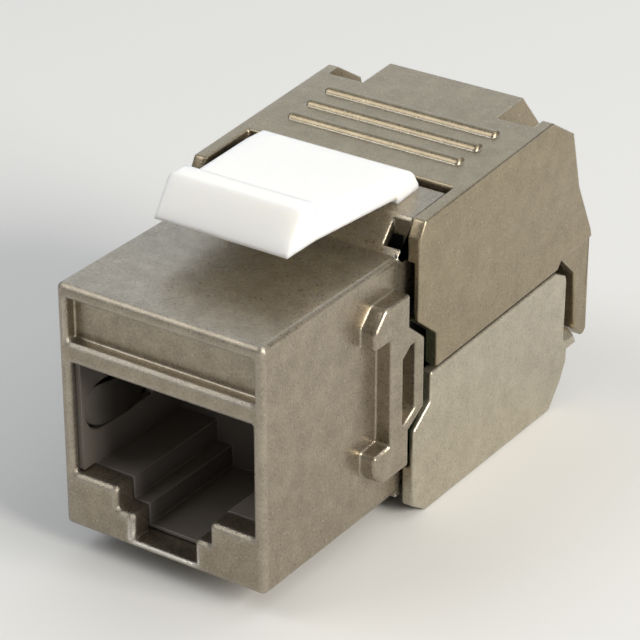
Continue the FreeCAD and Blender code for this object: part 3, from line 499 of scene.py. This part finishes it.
FINISHES = {
    # The three cast_nickel finishes are lit and shaded copies of one satin nickel: the lower
    # shell's colour is painted lighter for the bright floor it reflects, the upper shell's darker
    # and warmer as painted shade, and the front box's lowered as painted shade on its front face.
    "cast_nickel_front": CastNickel((0.365, 0.316, 0.245), (0.25, 0.214, 0.163),
                                    front_rounding=0.5 * MM, rough_gain=4.0),
    "cast_nickel_upper": CastNickel((0.335, 0.277, 0.187), (0.25, 0.205, 0.136)),
    "cast_nickel_lower": CastNickel((0.5, 0.455, 0.362), (0.385, 0.347, 0.27)),
    "port_plastic": MouldedPlastic((0.19, 0.167, 0.148), (0.145, 0.126, 0.111), roughness=0.36),
    "carrier_plastic": MouldedPlastic((0.04, 0.038, 0.036), (0.028, 0.027, 0.026)),
    "board": MouldedPlastic((0.02, 0.12, 0.05), (0.015, 0.09, 0.04), roughness=0.35),
    "block_plastic": MouldedPlastic((0.035, 0.034, 0.034), (0.025, 0.024, 0.024)),
    "manager_plastic": MouldedPlastic((0.72, 0.71, 0.68), (0.66, 0.65, 0.62)),
    "latch_plastic": MouldedPlastic((0.87, 0.868, 0.855), (0.855, 0.852, 0.84),
                                    roughness=0.55, glow=0.8, rounding=0.3 * MM),
    "contact_gold": PlatedMetal((0.86, 0.62, 0.25), (0.75, 0.5, 0.18)),
    "terminal_tin": PlatedMetal((0.72, 0.71, 0.69), (0.6, 0.59, 0.57)),
    "spring_steel": PlatedMetal((0.22, 0.2, 0.175), (0.16, 0.146, 0.127), roughness=0.45),
}


def only(piece: bpy.types.Object) -> None:
    """Deselect everything, then select one object and make it active.

    Args:
        piece: The object to work on.
    """
    bpy.ops.object.select_all(action="DESELECT")
    piece.select_set(True)
    bpy.context.view_layer.objects.active = piece


@dataclass(frozen=True)
class Rounding:
    """How far the edges inside one region are rounded over."""

    radius: float
    low: Point = (-BEYOND, -BEYOND, -BEYOND)
    high: Point = (BEYOND, BEYOND, BEYOND)

    def holds(self, place: Vector) -> bool:
        """Tell whether a place, in the frame, lies in the region."""
        low, high = from_datum(*self.low), from_datum(*self.high)
        return all(low[axis] <= place[axis] <= high[axis] for axis in range(len(place)))


@dataclass
class Moulding:
    """A rigid node's own shape with its edges rounded as a mould leaves them."""

    node: str
    body: Body
    slot: str
    roundings: tuple[Rounding, ...]
    segments: int = 3
    room: float = 0.42
    clamp: bool = False
    merge: float = 0.001 * MM
    flat_angle: float = math.radians(0.5)
    sharp_angle: float = math.radians(28)
    smooth_angle: float = math.radians(40)
    aligned: float = 0.9

    def copy(self, material: bpy.types.Material) -> bpy.types.Object:
        """Copy the node's mesh, merge its loose triangles and clear its flat faces.

        Args:
            material: The finish.

        Returns:
            The copy.
        """
        mesh = frame["nodes"][self.node].data.copy()
        piece = bpy.data.objects.new(f"{self.node}_cast", mesh)
        bpy.context.scene.collection.objects.link(piece)
        mesh.materials.clear()
        mesh.materials.append(material)
        only(piece)
        bpy.ops.object.mode_set(mode="EDIT")
        bpy.ops.mesh.select_all(action="SELECT")
        bpy.ops.mesh.remove_doubles(threshold=self.merge)
        bpy.ops.mesh.dissolve_limited(angle_limit=self.flat_angle)
        bpy.ops.object.mode_set(mode="OBJECT")
        return piece

    def radius_at(self, edge: bmesh.types.BMEdge) -> float:
        """How far one edge is rounded: its region's radius, or less where there is little room.

        Args:
            edge: An edge of the copy.

        Returns:
            The radius in metres.
        """
        if len(edge.link_faces) != 2 or edge.calc_face_angle() < self.sharp_angle:
            return 0.0
        start, end = edge.verts
        middle = (start.co + end.co) / 2
        wanted = next(region.radius for region in reversed(self.roundings) if region.holds(middle))
        along = (end.co - start.co).normalized()
        beside = [
            other.calc_length()
            for corner in edge.verts for other in corner.link_edges
            if other is not edge
            and abs((other.verts[1].co - other.verts[0].co).normalized().dot(along)) < self.aligned
        ]
        return min([wanted] + [self.room * length for length in beside])

    def build(self, materials: Materials) -> bpy.types.Object:
        """Copy the node, round its edges and let the copy stand for it.

        Args:
            materials: Finished materials by slot name.

        Returns:
            The dressed piece.
        """
        piece = self.copy(materials[self.slot])
        mesh = piece.data
        widest = max(region.radius for region in self.roundings)
        shape = bmesh.new()
        shape.from_mesh(mesh)
        weights = shape.edges.layers.float.new("bevel_weight_edge")
        for edge in shape.edges:
            edge[weights] = self.radius_at(edge) / widest
        shape.to_mesh(mesh)
        skin = BVHTree.FromBMesh(shape)
        shape.free()
        rounding = piece.modifiers.new("rounding", "BEVEL")
        rounding.width = widest
        rounding.segments = self.segments
        rounding.limit_method = "WEIGHT"
        rounding.use_clamp_overlap = self.clamp
        bpy.ops.object.modifier_apply(modifier="rounding")
        for point in mesh.vertices:
            nearest, _, _, stray = skin.find_nearest(point.co)
            if stray > widest / 2:
                point.co = nearest
        bpy.ops.object.shade_smooth_by_angle(angle=self.smooth_angle)
        flat = piece.modifiers.new("flat", "WEIGHTED_NORMAL")
        flat.keep_sharp = True
        bpy.ops.object.modifier_apply(modifier="flat")
        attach(piece, self.body.value)
        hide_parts(self.node)
        log.info("%s: %d faces", piece.name, len(mesh.polygons))
        return piece


class SubAssembly(ABC):
    """A group of pieces that are made and dressed together."""

    @abstractmethod
    def mouldings(self) -> list[Moulding]:
        """List the group's pieces."""

    def build(self, materials: Materials) -> list[bpy.types.Object]:
        """Build and dress each piece with the finished materials, by slot name."""
        return [moulding.build(materials) for moulding in self.mouldings()]


@dataclass
class FrontBox(SubAssembly):
    """The die-cast front box, with its port frame, side hooks and bridge."""

    edge: float = 0.1 * MM
    frame_edge: float = 0.18 * MM
    frame_low: Point = (-7.0, -1.0, 0.2)
    frame_high: Point = (7.0, 1.9, 12.6)
    tab_floor_low: Point = (-3.2, -1.0, -1.0)
    tab_floor_high: Point = (3.2, 2.2, 0.6)
    hook_edge: float = 0.16 * MM
    hook_low: Point = (7.3, 9.5, 2.0)
    hook_high: Point = (9.9, 15.2, 14.5)
    prong_edge: float = 0.26 * MM
    prong_rear: float = 11.4
    prong_heights: tuple[Span, ...] = ((2.0, 5.0), (11.5, 14.5))

    def mouldings(self) -> list[Moulding]:
        """List the box's one casting.

        Returns:
            The casting, with the port's frame and both hooks rounded by their own radii.
        """
        inner, front, foot = self.hook_low
        outer, rear, head = self.hook_high
        regions = [
            Rounding(self.edge),
            Rounding(self.frame_edge, self.frame_low, self.frame_high),
            Rounding(0.0, self.tab_floor_low, self.tab_floor_high),
        ]
        for left, right in ((inner, outer), (-outer, -inner)):
            regions.append(Rounding(self.hook_edge, (left, front, foot), (right, rear, head)))
            for low, high in self.prong_heights:
                regions.append(Rounding(self.prong_edge, (left, front, low),
                                        (right, self.prong_rear, high)))
        return [Moulding("front_housing", Body.HOUSING, "cast_nickel_front", tuple(regions))]


@dataclass
class PortFittings(SubAssembly):
    """The dark liner of the port."""

    edge: float = 0.08 * MM

    def mouldings(self) -> list[Moulding]:
        """List the liner."""
        return [Moulding("port_insert", Body.HOUSING, "port_plastic", (Rounding(self.edge),))]


@dataclass
class CableEnd(SubAssembly):
    """The terminal block and the wire manager that show once the shells are open."""

    block_edge: float = 0.08 * MM
    manager_edge: float = 0.1 * MM

    def mouldings(self) -> list[Moulding]:
        """List the block and the manager."""
        return [Moulding("idc_block", Body.HOUSING, "block_plastic", (Rounding(self.block_edge),)),
                Moulding("wire_manager", Body.HOUSING, "manager_plastic",
                         (Rounding(self.manager_edge),))]


@dataclass
class RearShells(SubAssembly):
    """The two die-cast shells that close over the rear."""

    edge: float = 0.14 * MM
    pocket_low: Point = (-9.9, 28.0, 13.0)
    pocket_high: Point = (9.9, 40.0, 30.0)

    def mouldings(self) -> list[Moulding]:
        """List the upper and the lower shell.

        Returns:
            The two shells, the upper one with sharp edges at its rear pockets.
        """
        plain = Rounding(self.edge)
        pockets = Rounding(0.0, self.pocket_low, self.pocket_high)
        return [Moulding("upper_shell", Body.UPPER, "cast_nickel_upper", (plain, pockets)),
                Moulding("lower_shell", Body.LOWER, "cast_nickel_lower", (plain,))]


@dataclass
class PanelLatch(SubAssembly):
    """The plastic spring latch over the box."""

    edge: float = 0.2 * MM

    def mouldings(self) -> list[Moulding]:
        """List the latch."""
        return [Moulding("panel_latch", Body.LATCH, "latch_plastic", (Rounding(self.edge),),
                         clamp=True)]


def dress_nodes(materials: Materials) -> None:
    """Give every CAD node the finish of its material slot.

    Args:
        materials: Finished materials by slot name.
    """
    for entry in frame["record"]["subparts"]:
        node = frame["nodes"][entry["node"]]
        node.data.materials.clear()
        node.data.materials.append(materials[entry["material_slot"]])


@dataclass(frozen=True)
class Lamp:
    """One soft square lamp that faces the jack."""

    name: str
    place: Point
    size: float
    power: float
    tint: Colour

    def hang(self, aim: Vector) -> None:
        """Hang the lamp so that it faces a point.

        Args:
            aim: The point, in the frame.
        """
        light = bpy.data.lights.new(self.name, "AREA")
        light.shape = "SQUARE"
        light.size = self.size
        light.energy = self.power
        light.color = self.tint
        lamp = bpy.data.objects.new(self.name, light)
        lamp.location = self.place
        lamp.rotation_euler = (aim - Vector(self.place)).to_track_quat("-Z", "Y").to_euler()
        bpy.context.scene.collection.objects.link(lamp)


@dataclass
class Studio:
    """The camera of the photograph's view, the floor and the lamps."""

    azimuth: float = math.radians(34.371)
    elevation: float = math.radians(27.783)
    roll: float = math.radians(-0.061)
    distance: float = 177.463 * MM
    slide: Span = (0.698 * MM, 1.132 * MM)
    focal_pixels: float = 2909.7
    picture_pixels: float = 640.0
    sensor: float = 36.0
    sight: Span = (10 * MM, 10.0)
    target: Vector = field(default_factory=lambda: from_datum(0.0, 15.0, 8.0))
    floor_size: float = 4.0
    floor_colour: Colour = (0.7, 0.7, 0.695)
    floor_roughness: float = 0.9
    room_light: float = 0.24
    lamps: tuple[Lamp, ...] = (
        Lamp("key", (0.26, 0.16, 0.53), size=0.42, power=0.84, tint=(1.0, 0.99, 0.97)),
        Lamp("sheen", (-0.40, 0.58, 0.40), size=0.8, power=1.7, tint=(0.88, 0.99, 1.12)),
        Lamp("edge", (-0.33, -0.28, 0.50), size=0.36, power=1.3, tint=(1.0, 1.0, 0.99)),
        Lamp("side", (0.50, -0.02, 0.24), size=0.26, power=3.5, tint=(1.0, 0.96, 0.87)),
    )

    def camera(self) -> None:
        """Place the camera where the photograph was taken from."""
        back = Vector((
            math.sin(self.azimuth) * math.cos(self.elevation),
            -math.cos(self.azimuth) * math.cos(self.elevation),
            math.sin(self.elevation),
        ))
        level = Vector((math.cos(self.azimuth), math.sin(self.azimuth), 0.0))
        upright = back.cross(level)
        right = level * math.cos(self.roll) + upright * math.sin(self.roll)
        up = upright * math.cos(self.roll) - level * math.sin(self.roll)
        place = self.target + right * self.slide[0] + up * self.slide[1] + back * self.distance
        turn = Matrix((right, up, back)).transposed().to_4x4()
        lens = bpy.data.cameras.new("view")
        lens.sensor_width = self.sensor
        lens.lens = self.focal_pixels * self.sensor / self.picture_pixels
        lens.clip_start, lens.clip_end = self.sight
        camera = bpy.data.objects.new("view", lens)
        camera.matrix_world = Matrix.Translation(place) @ turn
        bpy.context.scene.collection.objects.link(camera)
        bpy.context.scene.camera = camera

    def floor(self) -> None:
        """Lay the plain pale floor."""
        bpy.ops.object.select_all(action="DESELECT")
        bpy.ops.mesh.primitive_plane_add(size=self.floor_size, location=(0.0, 0.0, 0.0))
        ground = bpy.context.object
        ground.name = "floor"
        material, shader = plain_shader("floor")
        shader.inputs["Base Color"].default_value = (*self.floor_colour, 1.0)
        shader.inputs["Roughness"].default_value = self.floor_roughness
        ground.data.materials.append(material)

    def sky(self) -> None:
        """Light the room evenly."""
        world = bpy.data.worlds.new("room")
        bpy.context.scene.world = world
        world.use_nodes = True
        background = world.node_tree.nodes["Background"]
        background.inputs["Color"].default_value = (*WHITE, 1.0)
        background.inputs["Strength"].default_value = self.room_light

    def build(self) -> None:
        """Set the stage."""
        self.camera()
        self.floor()
        self.sky()
        for lamp in self.lamps:
            lamp.hang(self.target)
        bpy.context.scene.view_settings.view_transform = "Standard"
        log.info("studio set, %d lamps", len(self.lamps))


def main() -> None:
    """Build the jack in order and report each piece."""
    effects = Effects()
    materials = {slot: finish.build(slot, effects) for slot, finish in FINISHES.items()}
    dress_nodes(materials)
    for assembly in (FrontBox(), PortFittings(), CableEnd(), RearShells(), PanelLatch()):
        pieces = assembly.build(materials)
        log.info("%s: %d pieces", type(assembly).__name__, len(pieces))
    Studio().build()


if __name__ == "__main__":
    main()
